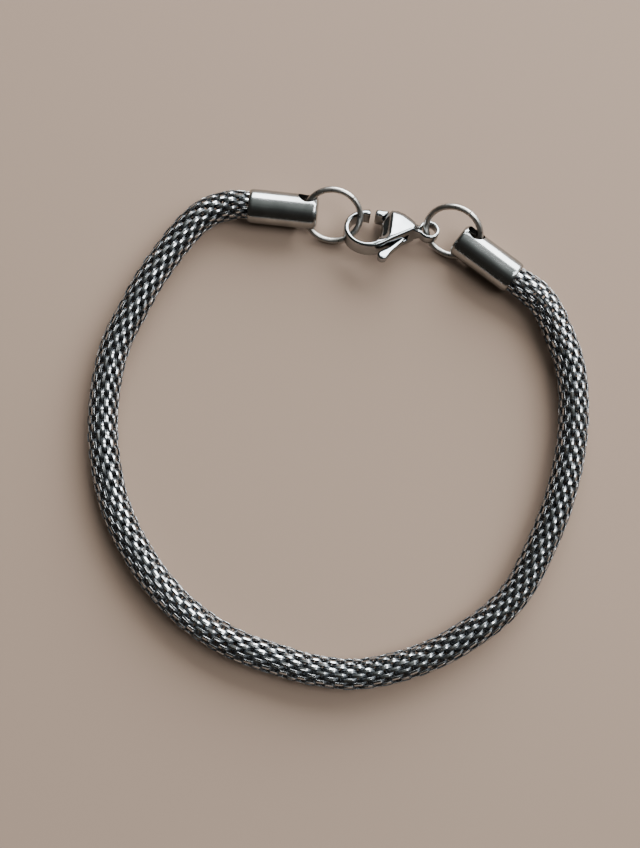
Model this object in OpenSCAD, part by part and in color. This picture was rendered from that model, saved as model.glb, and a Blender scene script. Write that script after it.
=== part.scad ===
// Steel mesh-chain bracelet, lying closed: a round mesh chain, two tubular end
// caps, two jump rings and a lobster clasp with its lever. Millimetres, +Z up,
// origin on the resting surface under the middle of the loop.

/* [Mesh chain] */
// Outer diameter of the round mesh
chain_d = 3.9; // [3.7:0.05:3.9]
// Diameter of the hollow inside the mesh
chain_bore = 2.9; // [2.4:0.1:3.1]
// Length of mesh hidden inside each end cap
chain_tuck = 5; // [3:0.5:5.5]
// How much thinner the mesh is pressed where it enters a cap
chain_pinch = 0.2; // [0.2:0.02:0.24]

/* [End caps] */
// Outer diameter of a cap
cap_d = 4.4; // [4.4:0.05:4.6]
// Wall thickness of a cap
cap_wall = 0.2; // [0.15:0.01:0.2]
// Length of a cap
cap_len = 9; // [8.9:0.1:9.1]
// Thickness of a cap's closed end
cap_end = 0.35; // [0.25:0.05:0.4]
// How much a cap's mouth is drawn in
cap_draw = 0.28; // [0.24:0.02:0.3]
// Rounding of a cap's closed end
cap_round = 0.6; // [0.3:0.05:0.6]
// Diameter of the cross hole for the jump ring
hole_d = 2.5; // [2.5:0.05:2.6]

/* [Jump rings] */
// Outer diameter of a jump ring
ring_d = 8; // [7.95:0.05:8]
// Wire diameter of a jump ring
ring_wire = 0.8; // [0.7:0.05:0.8]
// Gap between a ring's two cut ends
ring_gap = 0.1; // [0.05:0.05:0.2]

/* [Clasp] */
// Depth of the hook's band where it leaves the body
hook_depth = 2.4; // [2.2:0.1:2.4]
// Depth of the hook's band at its tip
tip_depth = 1.9; // [1.7:0.1:1.9]
// Depth between the body's two raised facets
body_depth = 3.2; // [3:0.1:3.2]
// Slant of the edges of the hook's band
band_edge = 0.15; // [0.1:0.05:0.2]
// Depth of the eye
eye_depth = 1.4; // [1.2:0.1:1.4]
// Outer diameter of the eye
eye_d = 2.7; // [2.6:0.05:2.7]
// Diameter of the hole in the eye
eye_hole_d = 1.9; // [1.9:0.05:2]

/* [Lever] */
// Thickness of the lever's plate
lever_t = 1; // [0.9:0.1:1.2]
// Depth of the gate in the hook's mouth
gate_depth = 2.1; // [1.6:0.1:2.2]
// Diameter of the hinge pin
pin_d = 0.7; // [0.6:0.05:0.75]
// Opening angle of the lever
lever_turn = 24; // [12:1:24]

/* [Hidden] */
$fn = 48;

// running gap between pieces that move or pass through each other
gap = 0.05;

// caps: radius, and length of the drawn-in lip
cap_r = cap_d / 2;
cap_lip = 0.6;
// where the caps lie: mouth in plan, heading from mouth to closed end, rise of the cross
// hole's axis on the outer side of the loop, and its distance from the closed end
left_mouth = [-11.6, 30];
left_heading = -6.3;
left_rise = 36;
left_inset = 1.45;
right_mouth = [22.8, 20.3];
right_heading = 143;
right_rise = 40;
right_inset = 1.6;

// the chain's route from the left cap to the right one, middle of the mesh
chain_r = chain_d / 2;
loop = [
  [-15.4, 29.8], [-17.7, 28.7], [-19.6, 26.9], [-21.4, 24.7], [-24.3, 20.5], [-26.7, 16],
  [-28.6, 12], [-29.8, 7], [-30.2, 1.5], [-29.7, -4], [-28.2, -9.7], [-25.4, -15.2],
  [-22, -19.8], [-18, -23.5], [-13, -26.5], [-8, -28.3], [-3, -29.7], [2, -30.2],
  [7, -29.4], [12, -27.7], [16.5, -25.2], [20.5, -22.2], [23.3, -18.8], [25.8, -14],
  [28, -8.7], [29.5, -3], [30.2, 2.5], [29.9, 8.8], [28, 14.4], [26.8, 16.8]
];
ring_steps = 2;
tube_sides = 12;
// rings of the tube, counted from each end, up to which it is pinched and where that ends
pinch_full = 2;
pinch_end = 5;

// jump rings: centre, turns about X and Y, place of the cut
left_ring = [-0.7, 28.55, 2.7];
left_ring_tip = [39, -8, 0];
left_ring_cut = 40;
right_ring = [14.85, 26.35, 3.07];
right_ring_tip = [42, -25, 0];
right_ring_cut = 40;

// clasp: middle of the eye, and its turns about X and Y; its own x runs from hook to eye
clasp_at = [11.8, 26.6, 1.73];
clasp_tip = [-21, 4.7, 0];
hook_mid = [-7.8, -0.2];
hook_half = [3.35, 2.9];
mouth_mid = [-8.4, -0.25];
mouth_half = [2.15, 2.25];
tip_x = -7.6;
// lever: the pin's place, and the round ends of gate and tab with their radii
pivot = [-3.7, 0.05];
hub_r = 0.75;
root = [-5, 1.4];
root_r = 0.45;
front = [-5.4, 1.9];
front_r = 0.52;
nose = [-6.55, 2.2];
nose_r = 0.4;
elbow = [-3.75, -1.6];
elbow_r = 0.3;
waist = [-5.3, -3.05];
waist_r = 0.34;
tab = [-6.3, -3.95];
tab_r = 0.62;
pin_len = 2.4;
// radii about the pin: the body's front face, and the inner end of the gate
face_r = 2.5;
gate_r = 2.72;
// the mouth's lower right edge, from the front face to the hook's band
mouth_edge = [[-6.38, -0.95], [-6.6, -1.5], [-6.95, -2], [-7.5, -2.35], [-8.4, -2.5]];
// corners of the body's foot and of its rim, with their heights, and of its raised facet
foot_edge = [[-8, -3.05], [-6.6, -2.85], [-4.7, -2], [-2, 0.4], [-4.85, 2.4], [-6, 1.5]];
foot_z = 1.1;
rim_edge = [
  [-5.8, -2.5], [-4.7, -1.97], [-2.9, -1.05], [-1.9, -0.5], [-1.7, 0], [-1.9, 0.6],
  [-2.4, 1.15], [-3.2, 1.85], [-4, 2.25], [-4.85, 2.38]
];
rim_z = 1.3;
facet_edge = [
  [-5.7, -2], [-4, -1.45], [-2.35, -0.6], [-2.2, -0.2], [-2.45, 0.2], [-3.7, 1.35], [-4.95, 1.8]
];
// hollow between the facet and the front face, a cylinder with a round end by the hook's
// band: the middle of that end, the heading towards the gate and the length
scoop_r = 2;
scoop_from = [-6.83, -1, 2.83];
scoop_heading = 81;
scoop_len = 6;
// neck between body and eye: where it leaves the body, and its width and depth at both ends
neck_from = -2.4;
neck_root = [1.3, 2.3];
neck_top = [0.95, 1.15];

function along(angle, d) = d * [cos(angle), sin(angle)];
function in_cap(mouth, heading, depth) =
  let(p = mouth + along(heading, depth)) [p[0], p[1], cap_r];
function on_floor(p) = [p[0], p[1], max(p[2], chain_r)];

// the whole route: inside the left cap, out of its mouth, round the loop, into the right cap
route = concat(
  [in_cap(left_mouth, left_heading, chain_tuck), in_cap(left_mouth, left_heading, 0),
   [-13, 30.2, 2.1]],
  [for (p = loop) [p[0], p[1], chain_r]],
  [[25.3, 18.5, 2], in_cap(right_mouth, right_heading, 0),
   in_cap(right_mouth, right_heading, chain_tuck)]
);

// smooth curve through the route's points, never below its resting height
function spline(a, b, c, d, t) =
  0.5 * (2 * b + (c - a) * t + (2 * a - 5 * b + 4 * c - d) * t * t
         + (3 * b - a - 3 * c + d) * t * t * t);
function route_at(i) = route[min(max(i, 0), len(route) - 1)];
centres = concat(
  [for (i = [0 : len(route) - 2], s = [0 : ring_steps - 1])
     on_floor(spline(route_at(i - 1), route_at(i), route_at(i + 1), route_at(i + 2),
                     s / ring_steps))],
  [route[len(route) - 1]]
);
function unit(v) = v / norm(v);
function heading_at(i) = unit(centres[min(i + 1, len(centres) - 1)] - centres[max(i - 1, 0)]);
function pinch_at(i) =
  let(from_end = min(i, len(centres) - 1 - i),
      share = (pinch_end - from_end) / (pinch_end - pinch_full))
  chain_pinch * min(max(share, 0), 1);
function ring_points(i, full_r) =
  let(t = heading_at(i), side = unit(cross([0, 0, 1], t)), up = cross(t, side),
      r = full_r - pinch_at(i))
  [for (k = [0 : tube_sides - 1])
     centres[i] + r * (sin(k * 360 / tube_sides) * side - cos(k * 360 / tube_sides) * up)];

// tube swept along the route: outer wall, inner wall and two flat ends
module mesh_chain() {
  n = len(centres);
  m = tube_sides;
  points = concat(
    [for (i = [0 : n - 1]) each ring_points(i, chain_r)],
    [for (i = [0 : n - 1]) each ring_points(i, chain_bore / 2)]
  );
  inner = n * m;
  last = (n - 1) * m;
  walls = [for (i = [0 : n - 2], k = [0 : m - 1])
             let(a = i * m + k, b = i * m + (k + 1) % m) each [
               [a, b + m, b], [a, a + m, b + m],
               [inner + a, inner + b, inner + b + m], [inner + a, inner + b + m, inner + a + m]]];
  ends = [for (k = [0 : m - 1])
            let(a = k, b = (k + 1) % m) each [
              [a, b, inner + b], [a, inner + b, inner + a],
              [last + a, inner + last + b, last + b], [last + a, inner + last + a, inner + last + b]]];
  color("dimgray") polyhedron(points, concat(walls, ends), convexity = 8);
}

// half section of a cap: straight wall, mouth drawn in, rounded closed end
function cap_section() =
  let(inner_r = cap_r - cap_wall, mouth_r = cap_r - cap_draw)
  concat(
    [for (a = [0 : 15 : 90]) [mouth_r + cap_draw * sin(a), cap_lip * (1 - cos(a))]],
    [for (a = [0 : 15 : 90])
       [cap_r - cap_round * (1 - cos(a)), cap_len - cap_round * (1 - sin(a))]],
    [[0, cap_len], [0, cap_len - cap_end], [inner_r, cap_len - cap_end], [inner_r, cap_lip],
     [mouth_r - cap_wall / 2, 0]]
  );

// cap with its cross hole; tilt is the hole's turn about the cap's own axis
module end_cap(mouth, heading, inset, tilt) {
  color("silver")
    translate([mouth[0], mouth[1], cap_r]) rotate([0, 0, heading]) rotate([0, 90, 0])
    difference() {
      rotate_extrude() polygon(cap_section());
      translate([0, 0, cap_len - inset]) rotate([0, 0, tilt])
        rotate([90, 0, 0]) cylinder(d = hole_d, h = cap_d + 1, center = true);
    }
}

module end_cap_left() {
  end_cap(left_mouth, left_heading, left_inset, left_rise);
}

module end_cap_right() {
  end_cap(right_mouth, right_heading, right_inset, -right_rise);
}

// open ring of round wire, its two cut ends facing each other
module jump_ring(place, tip, cut) {
  mid_r = (ring_d - ring_wire) / 2;
  cut_angle = 2 * asin(ring_gap / 2 / mid_r);
  color("gainsboro")
    translate(place) rotate(tip) rotate([0, 0, cut + cut_angle / 2])
    rotate_extrude(angle = 360 - cut_angle)
    translate([mid_r, 0]) circle(d = ring_wire, $fn = 24);
}

module jump_ring_left() {
  jump_ring(left_ring, left_ring_tip, left_ring_cut);
}

module jump_ring_right() {
  jump_ring(right_ring, right_ring_tip, right_ring_cut);
}

// places a clasp piece: leaning about its long axis, the hook end a little raised
module in_clasp() {
  translate(clasp_at) rotate(clasp_tip) children();
}

module oval(mid, half) {
  polygon([for (a = [0 : 10 : 350]) [mid[0] + half[0] * cos(a), mid[1] + half[1] * sin(a)]]);
}

// flat bar with two round ends of their own radius
module bar(a, ra, b, rb) {
  run = b - a;
  heading = atan2(run[1], run[0]);
  lean = acos((ra - rb) / norm(run));
  translate(a) circle(r = ra);
  translate(b) circle(r = rb);
  polygon([a + along(heading + lean, ra), b + along(heading + lean, rb),
           b + along(heading - lean, rb), a + along(heading - lean, ra)]);
}

// the hook's oval with slanting edges, before its mouth is cut
module hook_blank() {
  hull() {
    linear_extrude(hook_depth - 2 * band_edge, center = true) oval(hook_mid, hook_half);
    linear_extrude(hook_depth, center = true)
      oval(hook_mid, hook_half - [band_edge, band_edge]);
  }
}

// the two slanting cuts that thin the band towards its tip
module tip_taper() {
  slope = atan((hook_depth - tip_depth) / 2 / hook_half[1]);
  for (side = [0, 1]) mirror([0, 0, side])
    translate([-12, 0, hook_depth / 2]) rotate([-slope, 0, 0]) cube([7, 4, 2]);
}

// opening of the hook, and the gap that the gate closes
module mouth_plan() {
  oval(mouth_mid, mouth_half);
  polygon(concat(
    [[mouth_mid[0], 1.95], [tip_x, 1.9], [tip_x, 4], [-4.9, 4]],
    [for (a = [118 : 8 : 190]) pivot + along(a, face_r)],
    mouth_edge
  ));
}

// slanting inner edge of the band's west side
module mouth_flare() {
  flare = [2 * band_edge, 2 * band_edge];
  for (side = [0, 1]) mirror([0, 0, side])
    hull() {
      translate([0, 0, hook_depth / 2 - band_edge])
        linear_extrude(0.01) oval(mouth_mid, mouth_half);
      translate([0, 0, hook_depth / 2 + band_edge])
        linear_extrude(0.01) oval(mouth_mid, mouth_half + flare);
    }
}

// half of the body: sides, sloping borders and raised facet
module body_half() {
  hull() {
    linear_extrude(foot_z) polygon(foot_edge);
    linear_extrude(rim_z) polygon(rim_edge);
    linear_extrude(body_depth / 2) polygon(facet_edge);
  }
}

// hollow of the front border
module scoop() {
  translate(scoop_from) {
    sphere(r = scoop_r);
    rotate([0, 0, scoop_heading]) rotate([0, 90, 0]) cylinder(r = scoop_r, h = scoop_len);
  }
}

// eye with rounded rims, and the short tapering neck that carries it
module eye() {
  wall = (eye_d - eye_hole_d) / 2;
  rotate_extrude() translate([(eye_d - wall) / 2, 0]) {
    square([wall, eye_depth - wall], center = true);
    for (side = [-1, 1]) translate([0, side * (eye_depth - wall) / 2]) circle(d = wall, $fn = 24);
  }
  difference() {
    hull() {
      translate([neck_from, 0, 0]) cube([0.1, neck_root[0], neck_root[1]], center = true);
      translate([-eye_hole_d / 2, 0, 0]) cube([0.1, neck_top[0], neck_top[1]], center = true);
    }
    cylinder(d = eye_hole_d + wall, h = eye_depth + 1, center = true);
  }
}

// lever seen from its flat side, grown all round and turned about the pin
module lever_plan(grow, turn) {
  translate(pivot) rotate(turn) translate(-pivot) {
    bar(pivot, hub_r + grow, root, root_r + grow);
    bar(root, root_r + grow, nose, nose_r + grow);
    bar(pivot, hub_r + grow, elbow, elbow_r + grow);
    bar(elbow, elbow_r + grow, waist, waist_r + grow);
    bar(waist, waist_r + grow, tab, tab_r + grow);
  }
}

// room for the lever between the body's two cheeks, over its whole travel
module lever_room() {
  linear_extrude(lever_t + 2 * gap, center = true)
    for (turn = [0 : lever_turn / 6 : lever_turn]) lever_plan(gap, turn);
}

module clasp_body() {
  color("lightgray") in_clasp() {
    difference() {
      union() {
        difference() {
          hook_blank();
          tip_taper();
        }
        body_half();
        mirror([0, 0, 1]) body_half();
      }
      linear_extrude(body_depth + 1, center = true) mouth_plan();
      mouth_flare();
      scoop();
      mirror([0, 0, 1]) scoop();
      lever_room();
      translate(pivot) cylinder(d = pin_d + gap, h = pin_len + gap, center = true);
    }
    eye();
  }
}

// lever at rest: hub on the pin, gate closing the mouth, tab beside the body
module clasp_lever() {
  color("whitesmoke") in_clasp() difference() {
    union() {
      linear_extrude(lever_t, center = true) lever_plan(0, 0);
      difference() {
        linear_extrude(gate_depth, center = true) bar(front, front_r, nose, nose_r);
        translate(pivot) cylinder(r = gate_r, h = gate_depth + 1, center = true);
      }
    }
    translate(pivot) cylinder(d = pin_d + 2 * gap, h = body_depth, center = true);
  }
}

module clasp_pin() {
  color("gray") in_clasp() translate(pivot) cylinder(d = pin_d, h = pin_len, center = true);
}

mesh_chain();
end_cap_left();
end_cap_right();
jump_ring_left();
jump_ring_right();
clasp_body();
clasp_lever();
clasp_pin();
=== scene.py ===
import math

import bmesh
import bpy
import numpy as np
from mathutils import Matrix, Vector


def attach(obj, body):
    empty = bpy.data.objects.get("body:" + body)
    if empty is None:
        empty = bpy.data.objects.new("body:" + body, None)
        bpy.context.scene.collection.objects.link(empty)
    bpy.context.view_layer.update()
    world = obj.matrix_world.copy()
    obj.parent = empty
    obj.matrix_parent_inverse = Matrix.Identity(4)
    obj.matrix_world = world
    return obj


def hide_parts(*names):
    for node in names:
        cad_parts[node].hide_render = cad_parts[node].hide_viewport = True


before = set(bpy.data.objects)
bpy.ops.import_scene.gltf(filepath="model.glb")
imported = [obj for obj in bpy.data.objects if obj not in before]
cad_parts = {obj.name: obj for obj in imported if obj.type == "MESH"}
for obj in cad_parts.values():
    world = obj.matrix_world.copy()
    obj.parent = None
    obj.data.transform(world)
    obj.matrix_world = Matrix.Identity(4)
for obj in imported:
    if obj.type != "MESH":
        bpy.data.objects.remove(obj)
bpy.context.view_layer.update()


# Camera
# The bracelet is seen from almost straight above, from about 17 cm away,
# with the top of the picture a little further away than the bottom.
picture_height = 848
focal_pixels = 1280
camera_place = (-0.00235, -0.01399, 0.16537)
camera_tilt = math.radians(5.4)

camera_data = bpy.data.cameras.new("camera")
camera_data.sensor_fit = "VERTICAL"
camera_data.sensor_height = 36
camera_data.lens = camera_data.sensor_height * focal_pixels / picture_height
camera_data.clip_start = 0.001
camera = bpy.data.objects.new("camera", camera_data)
camera.location = camera_place
camera.rotation_euler = (camera_tilt, 0, 0)
bpy.context.scene.collection.objects.link(camera)
bpy.context.scene.camera = camera


# Mesh chain
# A round hollow chain of stainless wire. Each link is a closed loop: its two long sides lie
# on the outside, pressed flat there, and its ends dip in under the links of the courses
# before and after it, so every course hangs in the last one and is set half a link round.
MM = 0.001
chain_radius = 1.95 * MM
wire_radius = 0.115 * MM
links_round = 10
# the caps as they lie, in mm: the middle of each mouth in plan, and the heading inwards
mouth_left, heading_left = (-11.6, 30.0), math.radians(-6.3)
mouth_right, heading_right = (22.8, 20.3), math.radians(143)
cap_radius_mm = 2.2
tuck_mm = 5
# the chain's middle line in mm: where it comes down from the left cap, the loop in plan, and
# where it rises to the right cap
leaving_left, reaching_right = (-13, 30.2, 2.1), (25.3, 18.5, 2)
route_loop = (
    (-15.4, 29.8), (-17.7, 28.7), (-19.6, 26.9), (-21.4, 24.7), (-24.3, 20.5), (-26.7, 16),
    (-28.6, 12), (-29.8, 7), (-30.2, 1.5), (-29.7, -4), (-28.2, -9.7), (-25.4, -15.2),
    (-22, -19.8), (-18, -23.5), (-13, -26.5), (-8, -28.3), (-3, -29.7), (2, -30.2),
    (7, -29.4), (12, -27.7), (16.5, -25.2), (20.5, -22.2), (23.3, -18.8), (25.8, -14),
    (28, -8.7), (29.5, -3), (30.2, 2.5), (29.9, 8.8), (28, 14.4), (26.8, 16.8),
)
# the chain is pressed thinner inside the caps, out to a little way in front of them
pinch_depth = 0.2 * MM
pinch_full, pinch_end = 5 * MM, 7.6 * MM
# how far apart the courses are, in mm, by distance along the chain: it is stretched along
# the bottom of the loop and pressed together up its right side
pitch_by_distance = ((0, 1.08), (25, 1.1), (38, 1.04), (55, 1.08), (80, 1.15),
                     (103, 1.13), (118, 1.07), (130, 1.04), (165, 1.03))
# the pitch in mm that the link below is drawn for: it is drawn out or shortened from there
link_pitch = 1.07
# how far the chain is twisted, in degrees, by distance along it in mm
twist_by_distance = ((0, 9), (25, 12), (62, 74), (72, 74), (80, 87), (98, 90),
                     (116, 121), (124, 123), (138, 137), (165, 175))
# middle line of a link laid flat, in mm: across the chain, along it and outwards
link_line_mm = (
    (0.452, -0.4, -0.004), (0.452, 0.32, 0), (0.452, 0.5, -0.05),
    (0.43, 0.8, -0.32), (0, 0.9, -0.42), (-0.43, 0.8, -0.32),
    (-0.452, 0.5, -0.05), (-0.452, 0.32, 0), (-0.452, -0.4, -0.004),
    (-0.43, -0.78, -0.29), (0, -0.93, -0.43), (0.43, -0.78, -0.29),
)
# the wire's section in wire radii: a straight side, a thin worn edge, the flat that leans
# towards the link's hole, the other worn edge and side, and round below; and its corners
# that stay crisp, counted from 0
wire_section = ((-1, -0.2), (-1, 0.66), (-0.84, 0.86), (0.84, 1), (1, 0.84), (1, -0.2), (0, -1))
flat_corners = (1, 2, 3, 4)


def in_cap(mouth, heading, depth_mm):
    """A point on a cap's axis: its mouth, moved by a depth along its heading."""
    return (mouth[0] + depth_mm * math.cos(heading), mouth[1] + depth_mm * math.sin(heading),
            cap_radius_mm)


def chain_route():
    """The route's points in metres: inside the left cap, round the loop, into the right cap."""
    height = chain_radius / MM
    points = [in_cap(mouth_left, heading_left, tuck_mm), in_cap(mouth_left, heading_left, 0),
              leaving_left]
    points += [(x, y, height) for x, y in route_loop]
    points += [reaching_right, in_cap(mouth_right, heading_right, 0),
               in_cap(mouth_right, heading_right, tuck_mm)]
    return np.array(points, float) * MM


def smooth_curve(points, steps):
    """Catmull-Rom curve: between two points a cubic that leaves and arrives along the line
    through the neighbours on each side, kept up so that the chain rests on the surface."""
    p = np.vstack([points[:1], points, points[-1:]])
    a, b, c, d = p[:-3, None], p[1:-2, None], p[2:-1, None], p[3:, None]
    t = (np.arange(steps) / steps)[None, :, None]
    curve = 0.5 * (2 * b + (c - a) * t + (2 * a - 5 * b + 4 * c - d) * t ** 2
                   + (3 * b - a - 3 * c + d) * t ** 3)
    curve = np.vstack([curve.reshape(-1, 3), points[-1:]])
    curve[:, 2] = np.maximum(curve[:, 2], chain_radius)
    return curve


def mesh_piece(name, points, faces, smooth=True):
    """A mesh object with its place in its points, the object itself at the origin."""
    data = bpy.data.meshes.new(name)
    data.from_pydata(points.reshape(-1, 3).tolist(), [], faces.tolist())
    data.polygons.foreach_set("use_smooth", np.full(len(data.polygons), smooth))
    data.update()
    piece = bpy.data.objects.new(name, data)
    bpy.context.scene.collection.objects.link(piece)
    return piece


def closed_grid_faces(rows, columns):
    """Quads of a grid of points, counted row by row, that is closed both ways: its last
    row joins its first, and its last column its first."""
    i, j = np.meshgrid(np.arange(rows), np.arange(columns), indexing="ij")
    down, right = (i + 1) % rows, (j + 1) % columns
    corners = (i * columns + j, i * columns + right, down * columns + right, down * columns + j)
    return np.stack(corners, -1).reshape(-1, 4)


curve = smooth_curve(chain_route(), steps=24)
curve_length = np.concatenate([[0], np.cumsum(np.linalg.norm(np.diff(curve, axis=0), axis=1))])


def on_curve(s):
    """The place on the chain's middle line at distance s, for an array of s."""
    return np.stack([np.interp(s, curve_length, curve[:, k]) for k in range(3)], -1)


def along_chain(s):
    """Place, side and up at distance s along the chain, for an array of s. The heading is
    taken from a little behind to a little ahead; up stays square to it and as near to +Z
    as it can be."""
    step = 0.4 * MM
    heading = on_curve(s + step) - on_curve(s - step)
    heading /= np.linalg.norm(heading, axis=-1, keepdims=True)
    side = np.cross(np.array([0, 0, 1.0]), heading)
    side /= np.linalg.norm(side, axis=-1, keepdims=True)
    return on_curve(s), side, np.cross(heading, side)


def by_distance(table, s):
    """A value read from a short table of distance along the chain in mm and value."""
    distance, value = np.array(table, float).T
    return np.interp(s, distance * MM, value)


def pinched(s):
    """How much the chain is thinned at distance s: fully inside the caps, running out to
    nothing a little way in front of them."""
    from_end = np.minimum(s, curve_length[-1] - s)
    return pinch_depth * np.clip((pinch_end - from_end) / (pinch_end - pinch_full), 0, 1)


def link_surface():
    """One link: the wire's section carried round its middle line, square to it, with the
    section's flat facing outwards."""
    line = np.array(link_line_mm) * MM
    section = np.array(wire_section) * wire_radius
    tangent = np.roll(line, -1, 0) - np.roll(line, 1, 0)
    tangent /= np.linalg.norm(tangent, axis=1, keepdims=True)
    outwards = np.array([0, 0, 1.0]) - tangent * tangent[:, 2:]
    outwards /= np.linalg.norm(outwards, axis=1, keepdims=True)
    away = np.cross(tangent, outwards)
    return (line[:, None] + section[None, :, :1] * away[:, None]
            + section[None, :, 1:] * outwards[:, None])


def courses_of_links(name, first, last, middle, askew):
    """The links of the courses from first up to last: the flat link wrapped round the
    chain's axis and bent along its route, odd courses set half a link round. Each link
    sits a little askew, by its own lean, tilts and rise."""
    link = link_surface()
    shape = (last - first, links_round) + link.shape[:2]
    lean, tilt_across, tilt_along, rise = askew[:, first:last, :, None, None]
    turn = np.arange(links_round)[None] + 0.5 * (np.arange(first, last)[:, None] % 2)
    turn = turn[..., None, None] * 2 * math.pi / links_round
    across, along, outwards = (np.broadcast_to(link[..., k], shape) for k in range(3))
    centre_radius = chain_radius - wire_radius
    radius = centre_radius + outwards + rise + tilt_across * across + tilt_along * along
    at = middle[first:last, None, None, None]
    radius = radius - pinched(at)
    s = at + along * by_distance(pitch_by_distance, at) / link_pitch
    twist = np.radians(by_distance(twist_by_distance, s))
    angle = turn + twist + (across + lean * along) / centre_radius
    place, side, up = along_chain(s)
    points = place + radius[..., None] * (np.sin(angle)[..., None] * side
                                          + np.cos(angle)[..., None] * up)
    one = closed_grid_faces(*link.shape[:2])
    size = link.shape[0] * link.shape[1]
    faces = (np.arange(shape[0] * links_round)[:, None, None] * size + one[None]).reshape(-1, 4)
    piece = mesh_piece(name, points, faces)

    # how far out each point of the wire is: 1 on the flats, 0 well inside the chain
    inside_from = 2.6 * wire_radius
    outside = np.clip(1 + (outwards - wire_radius) / inside_from, 0, 1)
    layer = piece.data.attributes.new("outside", "FLOAT", "POINT")
    layer.data.foreach_set("value", outside.astype(np.float32).ravel())

    # the flat and its worn edges meet the sides in crisp lines
    ends = np.empty(len(piece.data.edges) * 2, np.int32)
    piece.data.edges.foreach_get("vertices", ends)
    corner = ends.reshape(-1, 2) % link.shape[1]
    crisp = (corner[:, 0] == corner[:, 1]) & np.isin(corner[:, 0], flat_corners)
    piece.data.attributes.new("sharp_edge", "BOOLEAN", "EDGE").data.foreach_set("value", crisp)
    return piece


def linear(hex_colour):
    """sRGB hex to the linear colour that shaders take."""
    part = [int(hex_colour[k:k + 2], 16) / 255 for k in (1, 3, 5)]
    return [c / 12.92 if c <= 0.04045 else ((c + 0.055) / 1.055) ** 2.4 for c in part] + [1]


def add_node(tree, kind, settings=None, inputs=None):
    """Adds a node, sets its own settings, and gives its inputs a value or a link."""
    node = tree.nodes.new(kind)
    for name, value in (settings or {}).items():
        setattr(node, name, value)
    for name, value in (inputs or {}).items():
        if isinstance(value, bpy.types.NodeSocket):
            tree.links.new(value, node.inputs[name])
        else:
            node.inputs[name].default_value = value
    return node


def new_material(name):
    """An empty material and its Principled shader, linked to the output."""
    material = bpy.data.materials.new(name)
    material.use_nodes = True
    tree = material.node_tree
    tree.nodes.clear()
    shader = add_node(tree, "ShaderNodeBsdfPrincipled")
    output = add_node(tree, "ShaderNodeOutputMaterial")
    tree.links.new(shader.outputs[0], output.inputs["Surface"])
    return material, tree, shader


def set_ramp(node, stops):
    """Gives a colour ramp its stops: place and sRGB hex colour, from left to right."""
    ramp = node.color_ramp
    while len(ramp.elements) < len(stops):
        ramp.elements.new(1)
    for element, (place, colour) in zip(ramp.elements, stops):
        element.position = place
        element.color = linear(colour)


def swaged_wire_steel():
    """Stainless steel wire, rubbed smooth where the chain was pressed round, so that the flats
    reflect like a mirror; the wire that dips inside the chain is rougher, and painted dark as
    painted shade for the wells between the links."""
    material, tree, shader = new_material("swaged_wire_steel")
    side_ends, flat_starts = 0.84, 0.94
    outside = add_node(tree, "ShaderNodeAttribute", {"attribute_name": "outside"})
    ramp = add_node(tree, "ShaderNodeValToRGB", None, {"Fac": outside.outputs["Fac"]})
    # painted shade: the deeper the wire lies inside the chain, the darker it is painted, down
    # to near black in the wells
    set_ramp(ramp, ((0.1, "#4f5255"), (side_ends, "#626568"), (flat_starts, "#b9babb")))
    place = add_node(tree, "ShaderNodeTexCoord")
    # rubbing leaves patches about half a link across
    rubbed = add_node(tree, "ShaderNodeTexNoise", None,
                      {"Vector": place.outputs["Object"], "Scale": 1 / (0.6 * MM), "Detail": 3})
    rough = add_node(tree, "ShaderNodeMapRange", None,
                     {"Value": rubbed.outputs["Fac"], "From Min": 0.3, "From Max": 0.7,
                      "To Min": 0.08, "To Max": 0.2})
    dull = add_node(tree, "ShaderNodeMapRange", None,
                    {"Value": outside.outputs["Fac"], "From Min": side_ends,
                     "From Max": flat_starts, "To Min": 0.5, "To Max": rough.outputs["Result"]})
    tree.links.new(ramp.outputs["Color"], shader.inputs["Base Color"])
    tree.links.new(dull.outputs["Result"], shader.inputs["Roughness"])
    shader.inputs["Metallic"].default_value = 1
    return material


# each course lies one local pitch after the last, from just inside one end to the other,
# counted up in small steps
end_margin = 0.8 * MM
distance = np.linspace(end_margin, curve_length[-1] - end_margin, 4001)
courses = np.cumsum(np.diff(distance) / (by_distance(pitch_by_distance, distance[1:]) * MM))
course_count = int(courses[-1]) + 1
course_middle = np.interp(np.arange(course_count), courses, distance[1:])
# how far the links are out of true: lean, tilt across and tilt along as slopes, then rise
spread = np.array([0.025, 0.035, 0.025, 0.006 * MM])
askew = np.random.default_rng(11).normal(size=(4, course_count, links_round))
askew = np.clip(askew, -2, 2) * spread[:, None, None]

wire_steel = swaged_wire_steel()
halfway = course_count // 2
for name, first, last in (("mesh_links_left", 0, halfway),
                          ("mesh_links_right", halfway, course_count)):
    links = courses_of_links(name, first, last, course_middle, askew)
    links.data.materials.append(wire_steel)
    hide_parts("mesh_chain")
    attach(links, "bracelet")


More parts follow.
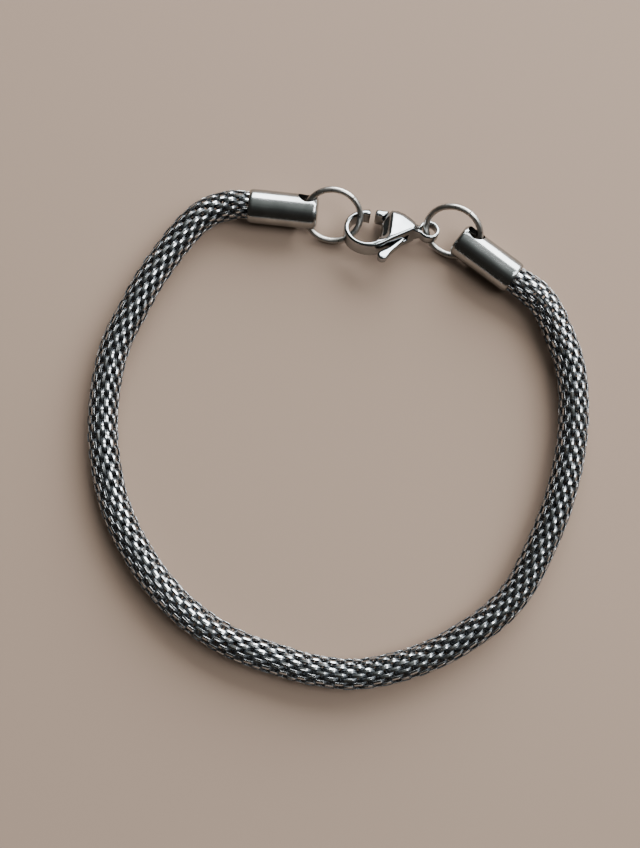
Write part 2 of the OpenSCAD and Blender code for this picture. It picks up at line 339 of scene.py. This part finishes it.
# End caps
# Cups of drawn stainless tube over the ends of the chain, polished along their length, with
# a hole drilled across near the closed end for the jump ring.
def polished_steel(name, colour, worn_colour, roughness, grain_mm, depth_mm,
                   place=(0, 0, 0), heading=0):
    """Polished stainless steel, which mirrors the windows, a little blurred across the marks
    that polishing leaves: grain_mm is their length, width and height, along the heading,
    and depth_mm how deep they are, deep enough to show. Handling dulls the steel in
    patches a few millimetres wide, towards the worn colour."""
    material, tree, shader = new_material(name)
    coordinates = add_node(tree, "ShaderNodeTexCoord")
    turned = add_node(tree, "ShaderNodeMapping", {"vector_type": "TEXTURE"},
                      {"Vector": coordinates.outputs["Object"], "Location": place,
                       "Rotation": (0, 0, heading), "Scale": [g * MM for g in grain_mm]})
    marks = add_node(tree, "ShaderNodeTexNoise", None,
                     {"Vector": turned.outputs["Vector"], "Scale": 1, "Detail": 4,
                      "Roughness": 0.6})
    patches = add_node(tree, "ShaderNodeTexNoise", None,
                       {"Vector": coordinates.outputs["Object"], "Scale": 1 / (2.5 * MM),
                        "Detail": 3})
    colours = add_node(tree, "ShaderNodeValToRGB", None, {"Fac": patches.outputs["Fac"]})
    set_ramp(colours, ((0.35, worn_colour), (0.6, colour)))
    # painted shade: in holes and inner corners, where less than three quarters of the room is
    # open within 1.2 mm, the steel is painted darker, down to half as bright
    painted_shade_occlusion = add_node(tree, "ShaderNodeAmbientOcclusion", {"samples": 8}, {"Distance": 1.2 * MM})
    polished = add_node(tree, "ShaderNodeMapRange", None,
                        {"Value": painted_shade_occlusion.outputs["AO"], "From Min": 0.3, "From Max": 0.75,
                         "To Min": 0.5, "To Max": 1})
    # the colour, worn in patches, times the painted shade of the hollows
    wear_and_painted_shade = add_node(tree, "ShaderNodeVectorMath", {"operation": "SCALE"},
                    {0: colours.outputs["Color"], "Scale": polished.outputs["Result"]})
    rough = add_node(tree, "ShaderNodeMapRange", None,
                     {"Value": marks.outputs["Fac"], "From Min": 0.3, "From Max": 0.7,
                      "To Min": 0.7 * roughness, "To Max": 1.3 * roughness})
    bump = add_node(tree, "ShaderNodeBump", None,
                    {"Height": marks.outputs["Fac"], "Distance": depth_mm * MM,
                     "Strength": 1})
    tree.links.new(wear_and_painted_shade.outputs["Vector"], shader.inputs["Base Color"])
    tree.links.new(rough.outputs["Result"], shader.inputs["Roughness"])
    tree.links.new(bump.outputs["Normal"], shader.inputs["Normal"])
    shader.inputs["Metallic"].default_value = 1
    return material


def finish(node_name, material):
    """Gives a CAD node's object one material."""
    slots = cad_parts[node_name].data.materials
    slots.clear()
    slots.append(material)


for side, mouth, heading in (("left", mouth_left, heading_left),
                             ("right", mouth_right, heading_right)):
    tube_steel = polished_steel("polished_tube_" + side, "#a2a3a2", "#929493", 0.19,
                                (3, 0.09, 0.09), 0.0012,
                                (mouth[0] * MM, mouth[1] * MM, 0), heading)
    finish("end_cap_" + side, tube_steel)


# Jump rings
# Round stainless wire wound on a rod and cut, each ring closed by hand with its ends
# nearly meeting.
ring_steel = polished_steel("wound_wire_steel", "#b2afaa", "#9d9a95", 0.34,
                            (0.35, 0.35, 0.35), 0.001)
finish("jump_ring_left", ring_steel)
finish("jump_ring_right", ring_steel)


# Clasp
# Lobster clasp, cast in stainless steel, its lever set in a slot on a pin with a spring
# behind it. Both castings were tumbled until their edges were round and their faces bright.
# how often the skin's points, and then the ways they face, are evened out, and by what share
tumbling_rounds = 60
crowning_rounds = 60
ease, push_back = 0.6, -0.62
same_point_mm = 0.0005


def tumbled_copy(node_name, name, square_mm):
    """A CAD node's solid with its edges rubbed round: a merged copy is wrapped in an even
    skin of small squares, whose points then move towards the mean of their neighbours and
    a touch further back, again and again, which rounds the edges and keeps the volume."""
    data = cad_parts[node_name].data.copy()
    data.transform(Matrix.Scale(1 / MM, 4))
    merged = bmesh.new()
    merged.from_mesh(data)
    bmesh.ops.remove_doubles(merged, verts=merged.verts, dist=same_point_mm)
    merged.to_mesh(data)
    merged.free()
    block = bpy.data.objects.new(name, data)
    bpy.context.scene.collection.objects.link(block)
    skin = block.modifiers.new("skin", "REMESH")
    skin.mode = "VOXEL"
    skin.voxel_size = square_mm
    seen = block.evaluated_get(bpy.context.evaluated_depsgraph_get())
    wrapped = bpy.data.meshes.new_from_object(seen)
    bpy.data.objects.remove(block)

    count = len(wrapped.vertices)
    points = np.empty(count * 3)
    wrapped.vertices.foreach_get("co", points)
    points = points.reshape(-1, 3)
    ends = np.empty(len(wrapped.edges) * 2, np.int32)
    wrapped.edges.foreach_get("vertices", ends)
    ends = ends.reshape(-1, 2)
    here, there = np.concatenate([ends, ends[:, ::-1]]).T
    neighbours = np.bincount(here, minlength=count)[:, None]

    def mean_round(value):
        """At each point, the mean of a value over the points joined to it."""
        total = np.stack([np.bincount(here, value[there, k], count) for k in range(3)], -1)
        return total / neighbours

    for share in (ease, push_back) * tumbling_rounds:
        points = points + share * (mean_round(points) - points)
    wrapped.vertices.foreach_set("co", (points * MM).ravel())
    wrapped.polygons.foreach_set("use_smooth", np.full(len(wrapped.polygons), True))
    wrapped.materials.clear()
    wrapped.update()
    # tumbling crowns the flats a little, so the shading eases towards every edge
    facing = np.empty(count * 3, np.float32)
    wrapped.vertex_normals.foreach_get("vector", facing)
    facing = facing.reshape(-1, 3).astype(float)
    for _ in range(crowning_rounds):
        facing = facing + ease * (mean_round(facing) - facing)
        facing /= np.linalg.norm(facing, axis=1, keepdims=True)
    wrapped.normals_split_custom_set_from_vertices(facing.tolist())
    piece = bpy.data.objects.new(name, wrapped)
    bpy.context.scene.collection.objects.link(piece)
    return piece


clasp_steel = polished_steel("tumbled_cast_steel", "#9fa2a3", "#8d9092", 0.13,
                             (0.3, 0.3, 0.3), 0.002)
for node_name, name, body, square_mm in (
        ("clasp_body", "clasp_casting", "bracelet", 0.06),
        ("clasp_lever", "clasp_lever_casting", "lever", 0.05)):
    casting = tumbled_copy(node_name, name, square_mm)
    casting.data.materials.append(clasp_steel)
    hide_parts(node_name)
    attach(casting, body)
finish("clasp_pin", clasp_steel)


# Floor
# A plain pale surface, matt, 12 m wide: it fills the picture, and a low view shows it end
# far behind the bracelet.
floor_half = 6
floor_corners = np.array([(-1, -1, 0), (1, -1, 0), (1, 1, 0), (-1, 1, 0)]) * floor_half
floor = mesh_piece("floor", floor_corners, np.array([[0, 1, 2, 3]]), smooth=False)
floor_paint, _, floor_shader = new_material("pale_floor")
floor_shader.inputs["Base Color"].default_value = linear("#867263")
floor_shader.inputs["Roughness"].default_value = 0.9
floor.data.materials.append(floor_paint)


# Light
# A wide window beyond the clasp and to its right, and a smaller one higher up on the
# right, in a grey room that is lighter round the windows and dark behind.
daylight = (0.95, 0.98, 1)
towards_windows = (0.5, 0.5, 0.707)


def window(name, place, size, power):
    """A rectangular area light at a place, turned towards the bracelet's middle."""
    data = bpy.data.lights.new(name, "AREA")
    data.shape = "RECTANGLE"
    data.size, data.size_y = size
    data.energy = power
    data.color = daylight
    light = bpy.data.objects.new(name, data)
    bpy.context.scene.collection.objects.link(light)
    light.location = place
    light.rotation_euler = (-Vector(place)).to_track_quat("-Z", "Y").to_euler()


window("wide_window", (0.295, 0.555, 0.307), (0.89, 0.51), 22)
window("high_window", (0.429, 0.045, 0.552), (0.3, 0.56), 4.6)
world = bpy.data.worlds.new("room")
world.use_nodes = True
room = world.node_tree
direction = add_node(room, "ShaderNodeTexCoord")
nearness = add_node(room, "ShaderNodeVectorMath", {"operation": "DOT_PRODUCT"},
                    {0: direction.outputs["Generated"], 1: towards_windows})
walls = add_node(room, "ShaderNodeValToRGB", None, {"Fac": nearness.outputs["Value"]})
set_ramp(walls, ((0, "#3a3733"), (0.4, "#484a48"), (0.68, "#858b88"), (0.95, "#d0d5d3")))
room.links.new(walls.outputs["Color"], room.nodes["Background"].inputs["Color"])
bpy.context.scene.world = world
